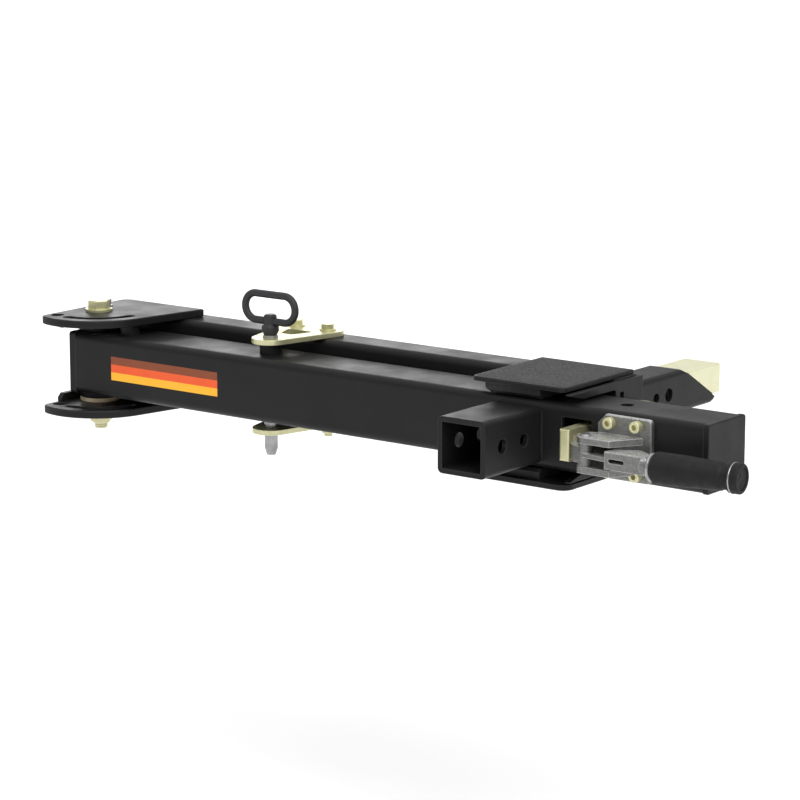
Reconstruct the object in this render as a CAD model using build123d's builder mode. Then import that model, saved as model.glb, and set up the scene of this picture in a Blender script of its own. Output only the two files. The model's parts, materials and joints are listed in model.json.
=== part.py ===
from build123d import *
import os
from math import acos, atan2, cos, hypot, radians, sin, tan

# Swing-arm hitch extension: a 2 inch shank with an anti-rattle wedge carries a fixed rear beam, and a square
# arm with its own 2 inch receiver swings on a vertical bolt at the beam's far end. Millimetres.
# Origin: centre of the hitch pin hole in the shank. +X along the arm towards its latch, +Y towards the
# vehicle, +Z up.

os.makedirs("parts", exist_ok=True)

# ---- Layout
pin_to_beam = 128.0          # hitch pin hole to the beam's rear face
pivot_to_centre = 658.0      # pivot axis to the hitch centreline
arm_reach = 244.5            # hitch centreline to the arm's free end
arm_gap = 15.0               # beam's front face to the arm's rear face
weld_gap = 0.1               # fit-up gap of a welded piece in its hole
edge = 1.0                   # broken edge of cut plate
fine_edge = 0.5              # broken edge of machined pieces
bolt_clearance = 0.3         # radial clearance of a bolt in its hole
running_clearance = 0.06     # radial clearance of a turning or sliding shaft

# ---- Shank and wedge
shank_w = 50.8
shank_wall = 6.35
shank_corner = 6.5
shank_nose = 102.5           # hitch pin hole to the nose
cut_angle = 30.6             # slope of the wedge cut
nose_z = -17.5               # height of the nose's point
nose_back = 8.8              # how far the nose undercut runs back
hitch_pin_hole_r = 8.3
clip_hole_r = 6.5            # smaller cross hole in front of the pin hole
clip_hole_back = 27.1
draw_bolt_r = 4.76
draw_bolt_z = 13.6
draw_head_af = 14.3
draw_head_h = 6.4
wedge_gap = 1.0
wedge_length = 73.5
wedge_drop = 4.5             # wedge's top below the shank's top while slack
wedge_travel = 3.0           # how far the bolt draws the wedge up its slope
wedge_edge = 1.6

# ---- Rear beam
beam_d = 50.8
beam_h = 101.6
beam_wall = 6.35
beam_corner = 8.0
beam_past_pivot = 30.8       # beam's end past the pivot axis
beam_cap_t = 3.2

# ---- Cradle that holds the arm's working end
cradle_w = 129.5             # width of the cradle inside its cheek
cheek_t = 6.35
cheek_drop = 1.5             # cheek's edges inside the beam's height
cheek_lip = 9.8              # beam's top to the lip's inner edge
cheek_lead = 26.0            # length of the sloped nose under each lip
cheek_nose = 1.5             # height of the nose's blunt end
cheek_web_proud = 4.0        # cheek's web in front of the beam
cheek_corner = 4.0
cheek_window = (8.0, 12.0)
cheek_window_z = 31.0
pad_t = 5.0
pad_inset = 2.5              # pad's side edges inside the cradle's
pad_proud = 2.7              # pad in front of the arm's face
pad_rear_inset = 5.8
pad_corner = 8.0
cradle_bottom_t = 6.35
cradle_bottom_proud = 9.7    # bottom plate in front of the arm's face
cradle_bottom_corner = 14.0
wear_left = -44.5
wear_right = 29.0
wear_gap = 1.0
wear_lead = 3.5              # lead-in chamfer
wear_end = 6.0               # chamfer at the pads' left end

# ---- Swing arm
arm_w = 76.2
arm_wall = 6.35
arm_corner = 9.0
free_end_t = 6.35
pivot_end_t = 9.6
pivot_end_past = 15.0        # end strips' outer face past the pivot axis
end_corner = 4.0
top_hole_r = 7.6             # drain and hang hole in the arm's top
top_hole_x = 118.0

# ---- Pivot
pivot_bolt_r = 7.94
pivot_head_af = 23.8
pivot_head_h = 10.6
pivot_nut_h = 17.0
pivot_nut_dome = 2.6         # rounded end of the lock nut's collar
pivot_tip = 6.5
washer_r = 16.65
washer_t = 3.0
barrel_r = 24.8
bushing_wall = 3.2
flange_t = 4.8
thrust_gap = 0.3
bushing_length = 30.0
pivot_plate_t = 9.5
plate_front_r = 76.5
plate_left = 33.0
plate_rear = 86.0
plate_right = 96.0
plate_corner = 12.0
rib_t = 6.35
rib_h = 10.0
rib_front = 42.0
stop_r = 57.0                # radius of the slot and lock-open hole
stop_angle = -6.0            # stop sleeve's direction from the arm
open_angle = 104.0           # swing that lines the sleeve up with the lock-open hole
slot_end_angle = -88.0
slot_w = 13.0
open_hole_r = 8.2
stop_sleeve_r = 12.0
grease_x = -5.0
grease_y = 24.0

# ---- Lock pin in the middle of the arm
lock_from_pivot = 274.0
lock_pin_r = 7.94
lock_pin_below = 27.0        # pin's tip below the lower lock plate
lock_pin_taper = (8.0, 2.4)  # tip's length and depth
lock_plate_t = 6.35
lock_nose_r = 22.5
lock_bolt_spread = 48.0
lock_bolt_r = 4.76
lock_head_af = 14.3
lock_head_h = 6.35
lock_nut_h = 9.5
lock_tip = 4.0
lock_washer_r = 10.0
lock_washer_t = 1.6
lock_corner_r = 12.0
lock_corner_spread = 62.0
lock_corner_back = 3.0       # corner centres behind the bolts
lock_sleeve_r = 12.7
hub_r = 10.2
hub_h = 24.8
pin_shoulder = 1.0           # pin's shoulder proud of its shaft
pin_shoulder_h = 3.0         # pin's shoulder, which rests on the upper lock plate
handle_rod_r = 4.5
handle_w = 75.5              # over the rod's centreline
handle_h = 31.8

# ---- Receiver tube
receiver_w = 63.5
receiver_inside = 51.6
receiver_corner = 6.0
receiver_out = 106.5         # receiver's mouth in front of the arm
receiver_pin_r = 8.3
receiver_pin_back = 32.0     # mouth to the pin hole
receiver_second_back = 72.5  # mouth to the clip hole
receiver_second_r = 7.6

# ---- Strike and latch
strike_t = 12.7
strike_h = 35.0
strike_out = 30.0            # strike's end in front of the arm
strike_spacer_t = 4.0
strike_foot_h = 46.0
strike_window = (16.0, 30.0)
strike_window_back = 7.0
strike_window_z = -4.0
strike_bolt_z = 14.5
strike_corner = 2.0
opening_w = 40.0
opening_h = 48.0
opening_left = 58.0
bracket_x = 142.8
bracket_w = 68.5
bracket_h = 70.0
bracket_t = 6.0
bracket_chamfer = 10.0       # cut corners beside the strike
bracket_bolt_dx = 34.4
bracket_bolt_dz = 53.6
bracket_bolt_r = 4.0
bracket_head_r = 6.5
bracket_head_h = 8.0
latch_x = 109.0
latch_out = 29.9             # latch pivot in front of the arm
latch_pin_r = 4.0
fork_top = 14.6
fork_t = 7.4
fork_bottom = -25.4
fork_side_gap = 0.5
lever_h = 19.6
boss_r = 9.0
hook_reach = 27.0            # hook's tip from the latch pivot
leaf_t = 4.6                 # web between the lever's boss and its body
hook_h = 18.0
grip_angle = 5.0             # grip leans back towards the arm
grip_start = (94.5, -10.9)   # grip's root from the latch pivot
grip_length = 89.5
grip_big_r = 17.2
grip_small_r = 14.6
core_r = 8.0
ferrule_r = 15.5
ferrule_t = 4.0
end_cap_r = 16.4
end_cap_t = 13.5
end_cap_rim = 2.2            # rim round the cap's sunk face

# ---- Derived places
beam_rear = -pin_to_beam
beam_front = beam_rear - beam_d
arm_rear = beam_front - arm_gap
arm_y = arm_rear - arm_w / 2
arm_front = arm_rear - arm_w
pivot_x = -pivot_to_centre
pivot_at = (pivot_x, arm_y)
beam_y = beam_rear - beam_d / 2
beam_left = pivot_x - beam_past_pivot
half_beam_h = beam_h / 2
plate_z = half_beam_h
lock_x = pivot_x + lock_from_pivot
lock_at = (lock_x, arm_y)
lock_bolt_places = [(lock_x - lock_bolt_spread / 2, beam_y), (lock_x + lock_bolt_spread / 2, beam_y)]
cheek_in = cradle_w / 2
cheek_out = cheek_in + cheek_t
pad_front = arm_front - pad_proud
pad_rear = beam_rear - pad_rear_inset
sleeve_h = half_beam_h - arm_w / 2 - 2 * thrust_gap
strike_left = cheek_out + strike_spacer_t
strike_x = strike_left + strike_t / 2
strike_front = arm_front - strike_out
strike_foot_front = beam_front + 1.0
strike_foot_rear = beam_rear - 10.0
strike_bolt_y = [strike_foot_front + 11.0, strike_foot_rear - 11.0]
latch_y = arm_front - latch_out
latch_at = (latch_x, latch_y)
boss_top = fork_top - fork_t - fork_side_gap
boss_bottom = fork_bottom + fork_t + fork_side_gap
lever_mid = (boss_top + boss_bottom) / 2
receiver_mouth = arm_front - receiver_out
slope = tan(radians(cut_angle))


def save(piece, name):
    """Label a finished piece and write it as one STEP file."""
    piece.label = name
    export_step(piece, f"parts/{name}.step")


def stop_place(angle):
    """Point on the stop circle about the pivot, for an angle from the arm's direction."""
    return (pivot_x + stop_r * cos(radians(angle)), arm_y + stop_r * sin(radians(angle)))


def hexagon_r(across_flats):
    """Corner radius of a hexagon from its size across flats."""
    return across_flats / 2 / cos(radians(30))


# ================================================================ Shank, wedge and draw bolt
shank_half = shank_w / 2
cut_top_y = shank_nose - (shank_half - nose_z) / slope

with BuildPart() as shank:
    with BuildSketch(Plane.XZ.offset(-beam_rear)):
        RectangleRounded(shank_w, shank_w, shank_corner)
        RectangleRounded(shank_w - 2 * shank_wall, shank_w - 2 * shank_wall, 1.0, mode=Mode.SUBTRACT)
    extrude(amount=-(shank_nose - beam_rear))
    with BuildSketch(Plane.YZ) as nose_cut:
        with BuildLine():
            Polyline(
                (cut_top_y, shank_half),
                (shank_nose, nose_z),
                (shank_nose - nose_back, -shank_half),
                (shank_nose - nose_back, -shank_w),
                (shank_nose + shank_w, -shank_w),
                (shank_nose + shank_w, shank_w),
                (cut_top_y, shank_w),
                close=True,
            )
        make_face()
    extrude(amount=shank_w, both=True, mode=Mode.SUBTRACT)
    with BuildSketch(Plane.YZ):
        Circle(hitch_pin_hole_r)
        with Locations((-clip_hole_back, 0)):
            Circle(clip_hole_r)
    extrude(amount=shank_w, both=True, mode=Mode.SUBTRACT)
save(shank.part, "shank")

wedge_top = shank_half - wedge_drop
wedge_front = cut_top_y + (wedge_drop + wedge_gap / cos(radians(cut_angle))) / slope
wedge_rear = wedge_front + wedge_length
wedge_low = nose_z + 3.0

with BuildPart() as wedge_block:
    with BuildSketch(Plane.YZ.offset(-shank_half)):
        with BuildLine():
            Polyline(
                (wedge_front, wedge_top),
                (wedge_rear, wedge_top),
                (wedge_rear, wedge_low),
                (wedge_front + (wedge_top - wedge_low) / slope, wedge_low),
                close=True,
            )
        make_face()
    extrude(amount=shank_w)
    chamfer(wedge_block.edges().filter_by(Axis.Y), wedge_edge)
    with BuildSketch(Plane.XZ.offset(-wedge_rear)):
        with Locations((0, draw_bolt_z + wedge_travel * sin(radians(cut_angle)) / -2)):
            SlotCenterToCenter(wedge_travel, 2 * (draw_bolt_r + bolt_clearance), rotation=90)
    extrude(amount=wedge_length, mode=Mode.SUBTRACT)
save(wedge_block.part, "wedge_block")

draw_head_y = beam_front - draw_head_h
with BuildPart() as wedge_draw_bolt:
    with BuildSketch(Plane.XZ.offset(-beam_front)):
        with Locations((0, draw_bolt_z)):
            RegularPolygon(hexagon_r(draw_head_af), 6)
    extrude(amount=draw_head_h)
    with BuildSketch(Plane.XZ.offset(-beam_front)):
        with Locations((0, draw_bolt_z)):
            Circle(draw_bolt_r)
    extrude(amount=-(wedge_rear - 12.0 - beam_front))
save(wedge_draw_bolt.part, "wedge_draw_bolt")

# ================================================================ Rear beam
beam_length = cheek_in - beam_left
with BuildPart() as rear_beam:
    with BuildSketch(Plane.YZ.offset(beam_left)):
        with Locations((beam_y, 0)):
            RectangleRounded(beam_d, beam_h, beam_corner)
            RectangleRounded(beam_d - 2 * beam_wall, beam_h - 2 * beam_wall, beam_corner - beam_wall,
                             mode=Mode.SUBTRACT)
    extrude(amount=beam_length)
    with BuildSketch(Plane.XY):
        with Locations(*lock_bolt_places):
            Circle(lock_bolt_r + bolt_clearance)
    extrude(amount=beam_h, both=True, mode=Mode.SUBTRACT)
    with BuildSketch(Plane.XZ.offset(-beam_y)):
        with Locations((0, draw_bolt_z)):
            Circle(draw_bolt_r + bolt_clearance)
    extrude(amount=beam_d, both=True, mode=Mode.SUBTRACT)
save(rear_beam.part, "rear_beam")

with BuildPart() as beam_end_cap:
    with BuildSketch(Plane.YZ.offset(beam_left)):
        with Locations((beam_y, 0)):
            RectangleRounded(beam_d, beam_h, beam_corner)
    extrude(amount=-beam_cap_t)
    chamfer(beam_end_cap.faces().sort_by(Axis.X)[0].edges(), edge)
save(beam_end_cap.part, "beam_end_cap")

# ================================================================ Cradle
web_front = beam_front - cheek_web_proud
cheek_edge = half_beam_h - cheek_drop
lip_edge = half_beam_h - cheek_lip

with BuildPart() as cradle_cheek:
    with BuildSketch(Plane.YZ.offset(cheek_in)):
        with BuildLine():
            Polyline(
                (pad_front, cheek_edge),
                (beam_rear, cheek_edge),
                (beam_rear, -cheek_edge),
                (pad_front, -cheek_edge),
                (pad_front, cheek_nose - cheek_edge),
                (pad_front + cheek_lead, -lip_edge),
                (web_front, -lip_edge),
                (web_front, lip_edge),
                (pad_front + cheek_lead, lip_edge),
                (pad_front, cheek_edge - cheek_nose),
                close=True,
            )
        cheek_face = make_face()
        fillet(cheek_face.vertices().group_by(Axis.X)[-2], cheek_corner)
        with Locations((beam_front + cheek_window[0], cheek_window_z)):
            Rectangle(*cheek_window, mode=Mode.SUBTRACT)
    extrude(amount=cheek_t)
    chamfer(cradle_cheek.faces().sort_by(Axis.X)[-1].outer_wire().edges(), fine_edge)
save(cradle_cheek.part, "cradle_cheek")

with BuildPart() as step_pad:
    with BuildSketch(Plane.XY.offset(half_beam_h)):
        with Locations((0, (pad_front + pad_rear) / 2)):
            pad_face = Rectangle(cradle_w - 2 * pad_inset, pad_rear - pad_front)
        fillet(pad_face.vertices().group_by(Axis.Y)[0], pad_corner)
    extrude(amount=pad_t)
    chamfer(step_pad.faces().sort_by(Axis.Z)[-1].edges(), edge)
save(step_pad.part, "step_pad")

bottom_front = arm_front - cradle_bottom_proud
with BuildPart() as cradle_bottom_plate:
    with BuildSketch(Plane.XY.offset(-half_beam_h)):
        with Locations((0, (bottom_front + beam_rear) / 2)):
            bottom_face = Rectangle(2 * cheek_out, beam_rear - bottom_front)
        fillet(bottom_face.vertices().group_by(Axis.Y)[0], cradle_bottom_corner)
    extrude(amount=-cradle_bottom_t)
    chamfer(cradle_bottom_plate.faces().sort_by(Axis.Z)[0].edges(), edge)
save(cradle_bottom_plate.part, "cradle_bottom_plate")

wear_inner = arm_w / 2 + wear_gap
for side, name in ((1, "upper_wear_pad"), (-1, "lower_wear_pad")):
    with BuildPart() as wear_pad:
        with BuildSketch(Plane.YZ.offset(wear_left)):
            with BuildLine():
                Polyline(
                    (arm_front, side * half_beam_h),
                    (web_front, side * half_beam_h),
                    (web_front, side * wear_inner),
                    (arm_front + wear_lead, side * wear_inner),
                    (arm_front, side * (wear_inner + wear_lead)),
                    close=True,
                )
            make_face()
        extrude(amount=wear_right - wear_left)
        inner_face = wear_pad.faces().filter_by(Axis.Z).sort_by(Axis.Z)[0 if side > 0 else -1]
        chamfer(inner_face.edges().sort_by(Axis.X)[0], wear_end)
    save(wear_pad.part, name)

# ================================================================ Strike bar on the right cheek
foot_length = strike_foot_rear - strike_foot_front
foot_y = (strike_foot_rear + strike_foot_front) / 2
strike_bolt_places = [(y, z) for y in strike_bolt_y for z in (-strike_bolt_z, strike_bolt_z)]

with BuildPart() as strike_bar:
    with BuildSketch(Plane.YZ.offset(strike_left)):
        with Locations(((strike_front + strike_foot_rear) / 2, 0)):
            Rectangle(strike_foot_rear - strike_front, strike_h)
        with Locations((foot_y, 0)):
            Rectangle(foot_length, strike_foot_h)
        with Locations((strike_front + strike_window_back + strike_window[0] / 2, strike_window_z)):
            RectangleRounded(*strike_window, 2.5, mode=Mode.SUBTRACT)
        with Locations(*strike_bolt_places):
            Circle(lock_bolt_r + bolt_clearance, mode=Mode.SUBTRACT)
    extrude(amount=strike_t)
    fillet(strike_bar.faces().sort_by(Axis.Y)[0].edges(), strike_corner)
save(strike_bar.part, "strike_bar")

with BuildPart() as strike_spacer:
    with BuildSketch(Plane.YZ.offset(cheek_out)):
        with Locations((foot_y, 0)):
            Rectangle(foot_length, strike_foot_h)
        with Locations(*strike_bolt_places):
            Circle(lock_bolt_r + bolt_clearance, mode=Mode.SUBTRACT)
    extrude(amount=strike_spacer_t)
save(strike_spacer.part, "strike_spacer")

with BuildPart() as strike_bolts:
    with BuildSketch(Plane.YZ.offset(strike_left + strike_t)):
        with Locations(*strike_bolt_places):
            RegularPolygon(hexagon_r(lock_head_af), 6)
    extrude(amount=lock_head_h)
    with BuildSketch(Plane.YZ.offset(cheek_out)):
        with Locations(*strike_bolt_places):
            Circle(lock_bolt_r)
    extrude(amount=strike_spacer_t + strike_t)
save(strike_bolts.part, "strike_bolts")

# ================================================================ Pivot plates and ribs
corner_reach = hypot(plate_right, plate_rear)
tangent_angle = atan2(plate_rear, plate_right) - acos(plate_front_r / corner_reach)
left_angle = -acos(-plate_left / plate_front_r)
mid_angle = (tangent_angle + left_angle) / 2
rear_y = arm_y + plate_rear


def plate_arc(angle):
    """Point on the pivot plate's round front, for an angle in radians."""
    return (pivot_x + plate_front_r * cos(angle), arm_y + plate_front_r * sin(angle))


for side, name in ((1, "upper_pivot_plate"), (-1, "lower_pivot_plate")):
    with BuildPart() as pivot_plate:
        with BuildSketch(Plane.XY.offset(plate_z if side > 0 else -plate_z - pivot_plate_t)):
            with BuildLine():
                Polyline(
                    plate_arc(left_angle),
                    (pivot_x - plate_left, rear_y),
                    (pivot_x + plate_right, rear_y),
                    plate_arc(tangent_angle),
                )
                ThreePointArc(plate_arc(tangent_angle), plate_arc(mid_angle), plate_arc(left_angle))
            outline = make_face()
            fillet(outline.vertices().group_by(Axis.X)[0], plate_corner)
            fillet(outline.vertices().group_by(Axis.X)[-1], edge * 4)
            with Locations(pivot_at):
                Circle(pivot_bolt_r + bolt_clearance, mode=Mode.SUBTRACT)
            with Locations(stop_place(stop_angle - open_angle)):
                Circle(open_hole_r, mode=Mode.SUBTRACT)
            slot_path = CenterArc(pivot_at, stop_r, slot_end_angle, stop_angle - slot_end_angle)
            SlotArc(slot_path, slot_w, mode=Mode.SUBTRACT)
        extrude(amount=pivot_plate_t)
        for plate_side in (0, -1):
            chamfer(pivot_plate.faces().sort_by(Axis.Z)[plate_side].outer_wire().edges(), edge)
    save(pivot_plate.part, name)

rib_start = arm_y - rib_front
for side, name in ((1, "upper_pivot_rib"), (-1, "lower_pivot_rib")):
    with BuildPart() as rib:
        with BuildSketch(Plane.YZ.offset(pivot_x - plate_left)):
            with BuildLine():
                Polyline(
                    (rib_start, side * plate_z),
                    (beam_front, side * plate_z),
                    (beam_front, side * (plate_z - rib_h)),
                    (rib_start + rib_h / 2, side * (plate_z - rib_h)),
                    (rib_start, side * (plate_z - rib_h / 2)),
                    close=True,
                )
            make_face()
        extrude(amount=rib_t)
    save(rib.part, name)

# ================================================================ Pivot bolt, washers, nut and grease fitting
bolt_top = plate_z + pivot_plate_t + washer_t
bolt_end = -bolt_top - pivot_nut_h - pivot_tip

with BuildPart() as pivot_bolt:
    with BuildSketch(Plane.XY.offset(bolt_top)):
        with Locations(pivot_at):
            RegularPolygon(hexagon_r(pivot_head_af), 6)
    extrude(amount=pivot_head_h)
    chamfer(pivot_bolt.faces().sort_by(Axis.Z)[-1].edges(), edge)
    with BuildSketch(Plane.XY.offset(bolt_end)):
        with Locations(pivot_at):
            Circle(pivot_bolt_r)
    extrude(amount=bolt_top - bolt_end)
    chamfer(pivot_bolt.faces().sort_by(Axis.Z)[0].edges(), edge)
save(pivot_bolt.part, "pivot_bolt")

with BuildPart() as pivot_washers:
    for washer_z in (bolt_top - washer_t, -bolt_top):
        with BuildSketch(Plane.XY.offset(washer_z)):
            with Locations(pivot_at):
                Circle(washer_r)
                Circle(pivot_bolt_r + bolt_clearance, mode=Mode.SUBTRACT)
        extrude(amount=washer_t)
save(pivot_washers.part, "pivot_washers")

with BuildPart() as pivot_nut:
    with BuildSketch(Plane.XY.offset(-bolt_top)):
        with Locations(pivot_at):
            RegularPolygon(hexagon_r(pivot_head_af), 6)
            Circle(pivot_bolt_r, mode=Mode.SUBTRACT)
    extrude(amount=-pivot_nut_h + pivot_nut_dome)
    with BuildSketch(Plane.XY.offset(-bolt_top - pivot_nut_h)):
        with Locations(pivot_at):
            Circle(pivot_head_af / 2 - 1.0)
            Circle(pivot_bolt_r, mode=Mode.SUBTRACT)
    extrude(amount=pivot_nut_dome)
    chamfer(pivot_nut.faces().sort_by(Axis.Z)[0].outer_wire().edges(), edge)
save(pivot_nut.part, "pivot_nut")

grease_at = (pivot_x + grease_x, arm_y + grease_y)
grease_z = plate_z + pivot_plate_t
with BuildPart() as grease_fitting:
    with BuildSketch(Plane.XY.offset(grease_z)):
        with Locations(grease_at):
            RegularPolygon(4.6, 6)
    extrude(amount=3.5)
    with BuildSketch(Plane.XY.offset(grease_z + 3.5)):
        with Locations(grease_at):
            Circle(2.4)
    extrude(amount=4.5)
    with BuildSketch(Plane.XY.offset(grease_z + 8.0)):
        with Locations(grease_at):
            Circle(3.2)
    extrude(amount=3.0)
    chamfer(grease_fitting.faces().sort_by(Axis.Z)[-1].edges(), edge)
save(grease_fitting.part, "grease_fitting")

# ================================================================ Lock plates with their bolts
corner_y = beam_y + lock_corner_back
window_front = arm_y + lock_nose_r + 6.0
window_rear = beam_front + 5.0

for side, name in ((1, "upper_lock_plate"), (-1, "lower_lock_plate")):
    with BuildPart() as lock_plate:
        with BuildSketch(Plane.XY.offset(half_beam_h if side > 0 else -half_beam_h - lock_plate_t)):
            with Locations(lock_at):
                Circle(lock_nose_r)
            with Locations((lock_x - lock_corner_spread / 2, corner_y), (lock_x + lock_corner_spread / 2, corner_y)):
                Circle(lock_corner_r)
            make_hull()
            with Locations(lock_at):
                Circle(lock_pin_r + bolt_clearance, mode=Mode.SUBTRACT)
            with Locations(*lock_bolt_places):
                Circle(lock_bolt_r + bolt_clearance, mode=Mode.SUBTRACT)
        extrude(amount=lock_plate_t)
        with BuildSketch(Plane.XY.offset(half_beam_h if side > 0 else -half_beam_h - lock_plate_t)):
            with BuildLine():
                Polyline(
                    (lock_x - 8.0, window_front),
                    (lock_x + 8.0, window_front),
                    (lock_x + 20.0, window_rear),
                    (lock_x - 20.0, window_rear),
                    close=True,
                )
            window = make_face()
            fillet(window.vertices(), 4.0)
        extrude(amount=lock_plate_t, mode=Mode.SUBTRACT)
        for plate_side in (0, -1):
            chamfer(lock_plate.faces().sort_by(Axis.Z)[plate_side].outer_wire().edges(), fine_edge)
    save(lock_plate.part, name)

lock_stack = half_beam_h + lock_plate_t + lock_washer_t
with BuildPart() as lock_plate_washers:
    for washer_z in (lock_stack - lock_washer_t, -lock_stack):
        with BuildSketch(Plane.XY.offset(washer_z)):
            with Locations(*lock_bolt_places):
                Circle(lock_washer_r)
                Circle(lock_bolt_r + bolt_clearance, mode=Mode.SUBTRACT)
        extrude(amount=lock_washer_t)
save(lock_plate_washers.part, "lock_plate_washers")

with BuildPart() as lock_plate_bolts:
    with BuildSketch(Plane.XY.offset(lock_stack)):
        with Locations(*lock_bolt_places):
            RegularPolygon(hexagon_r(lock_head_af), 6)
    extrude(amount=lock_head_h)
    chamfer(lock_plate_bolts.faces().group_by(Axis.Z)[-1].edges(), fine_edge)
    with BuildSketch(Plane.XY.offset(lock_stack)):
        with Locations(*lock_bolt_places):
            Circle(lock_bolt_r)
    extrude(amount=-(2 * lock_stack + lock_nut_h + lock_tip))
save(lock_plate_bolts.part, "lock_plate_bolts")

with BuildPart() as lock_plate_nuts:
    with BuildSketch(Plane.XY.offset(-lock_stack)):
        with Locations(*lock_bolt_places):
            RegularPolygon(hexagon_r(lock_head_af), 6)
            Circle(lock_bolt_r, mode=Mode.SUBTRACT)
    extrude(amount=-lock_nut_h)
    chamfer(lock_plate_nuts.faces().group_by(Axis.Z)[0].edges().filter_by(GeomType.LINE), fine_edge)
save(lock_plate_nuts.part, "lock_plate_nuts")

# ================================================================ Swing arm
tube_start = pivot_x - pivot_end_past + pivot_end_t
tube_end = arm_reach - free_end_t
arm_half = arm_w / 2
inside_half = arm_half - arm_wall
stop_at = stop_place(stop_angle)
receiver_rear = arm_rear - arm_corner - 1.0

with BuildPart() as arm_tube:
    with BuildSketch(Plane.YZ.offset(tube_start)):
        with Locations((arm_y, 0)):
            RectangleRounded(arm_w, arm_w, arm_corner)
            RectangleRounded(2 * inside_half, 2 * inside_half, arm_corner - arm_wall, mode=Mode.SUBTRACT)
    extrude(amount=tube_end - tube_start)
    with BuildSketch(Plane.XY):
        with Locations(pivot_at):
            Circle(barrel_r + weld_gap)
        with Locations(lock_at):
            Circle(lock_sleeve_r + weld_gap)
    extrude(amount=arm_w, both=True, mode=Mode.SUBTRACT)
    with BuildSketch(Plane.XY):
        with Locations(stop_at):
            Circle(lock_pin_r + running_clearance)
        with Locations((top_hole_x, arm_y)):
            Circle(top_hole_r)
    extrude(amount=arm_w, mode=Mode.SUBTRACT)
    with BuildSketch(Plane.XZ.offset(-receiver_mouth)):
        RectangleRounded(receiver_w, receiver_w, receiver_corner)
    extrude(amount=-(receiver_rear - receiver_mouth), mode=Mode.SUBTRACT)
    with BuildSketch(Plane.XZ.offset(-arm_y)):
        with Locations((opening_left + opening_w / 2, 0)):
            RectangleRounded(opening_w, opening_h, 3.0)
    extrude(amount=arm_w, both=True, mode=Mode.SUBTRACT)
    with BuildSketch(Plane.XZ.offset(-arm_front)):
        with Locations((bracket_x, 0)):
            with GridLocations(bracket_bolt_dx, bracket_bolt_dz, 2, 2):
                Circle(bracket_bolt_r)
    extrude(amount=-arm_wall, mode=Mode.SUBTRACT)
save(arm_tube.part, "arm_tube")

with BuildPart() as arm_end_plate:
    with BuildSketch(Plane.YZ.offset(tube_end)):
        with Locations((arm_y, 0)):
            RectangleRounded(arm_w, arm_w, end_corner)
    extrude(amount=free_end_t)
    fillet(arm_end_plate.faces().sort_by(Axis.X)[-1].edges(), 1.5)
save(arm_end_plate.part, "arm_end_plate")

with BuildPart() as arm_pivot_end_strips:
    with BuildSketch(Plane.YZ.offset(tube_start)):
        with Locations((arm_y, 0)):
            RectangleRounded(arm_w, arm_w, end_corner)
    extrude(amount=-pivot_end_t)
    with BuildSketch(Plane.XY):
        with Locations(pivot_at):
            Circle(barrel_r + weld_gap)
    extrude(amount=arm_w, both=True, mode=Mode.SUBTRACT)
save(arm_pivot_end_strips.part, "arm_pivot_end_strips")

barrel_half = plate_z - thrust_gap - flange_t
bushing_r = pivot_bolt_r + running_clearance + bushing_wall
with BuildPart() as pivot_barrel:
    with BuildSketch(Plane.XY.offset(-barrel_half)):
        with Locations(pivot_at):
            Circle(barrel_r)
            Circle(bushing_r, mode=Mode.SUBTRACT)
    extrude(amount=2 * barrel_half)
save(pivot_barrel.part, "pivot_barrel")

with BuildPart() as pivot_bushings:
    for side in (-1, 1):
        flange_low = barrel_half if side > 0 else -barrel_half - flange_t
        with BuildSketch(Plane.XY.offset(flange_low)):
            with Locations(pivot_at):
                Circle(barrel_r)
                Circle(pivot_bolt_r + running_clearance, mode=Mode.SUBTRACT)
        extrude(amount=flange_t)
        with BuildSketch(Plane.XY.offset(barrel_half - bushing_length if side > 0 else -barrel_half)):
            with Locations(pivot_at):
                Circle(bushing_r)
                Circle(pivot_bolt_r + running_clearance, mode=Mode.SUBTRACT)
        extrude(amount=bushing_length)
save(pivot_bushings.part, "pivot_bushings")

with BuildPart() as stop_sleeve:
    with BuildSketch(Plane.XY.offset(arm_half)):
        with Locations(stop_at):
            Circle(stop_sleeve_r)
            Circle(lock_pin_r + running_clearance, mode=Mode.SUBTRACT)
    extrude(amount=sleeve_h)
save(stop_sleeve.part, "stop_sleeve")

with BuildPart() as lock_sleeve:
    with BuildSketch(Plane.XY.offset(-arm_half)):
        with Locations(lock_at):
            Circle(lock_sleeve_r)
            Circle(lock_pin_r + running_clearance, mode=Mode.SUBTRACT)
    extrude(amount=arm_w + sleeve_h)
save(lock_sleeve.part, "lock_sleeve")

with BuildPart() as receiver_tube:
    with BuildSketch(Plane.XZ.offset(-receiver_mouth)):
        RectangleRounded(receiver_w, receiver_w, receiver_corner)
        RectangleRounded(receiver_inside, receiver_inside, 1.0, mode=Mode.SUBTRACT)
    extrude(amount=-(receiver_rear - receiver_mouth))
    fillet(receiver_tube.faces().sort_by(Axis.Y)[0].outer_wire().edges(), edge)
    with BuildSketch(Plane.YZ):
        with Locations((receiver_mouth + receiver_pin_back, 0)):
            Circle(receiver_pin_r)
        with Locations((receiver_mouth + receiver_second_back, 0)):
            Circle(receiver_second_r)
    extrude(amount=receiver_w, both=True, mode=Mode.SUBTRACT)
save(receiver_tube.part, "receiver_tube")

# ================================================================ Latch bracket on the arm
flange_front = arm_front - bracket_t
to_flange = latch_out - bracket_t
bracket_left = bracket_x - bracket_w / 2
bracket_right = bracket_x + bracket_w / 2
head_relief_r = bracket_head_r + 1.2
relief_right = latch_x + 20.0
relief_low = fork_bottom + fork_t
relief_high = fork_top - fork_t

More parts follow.
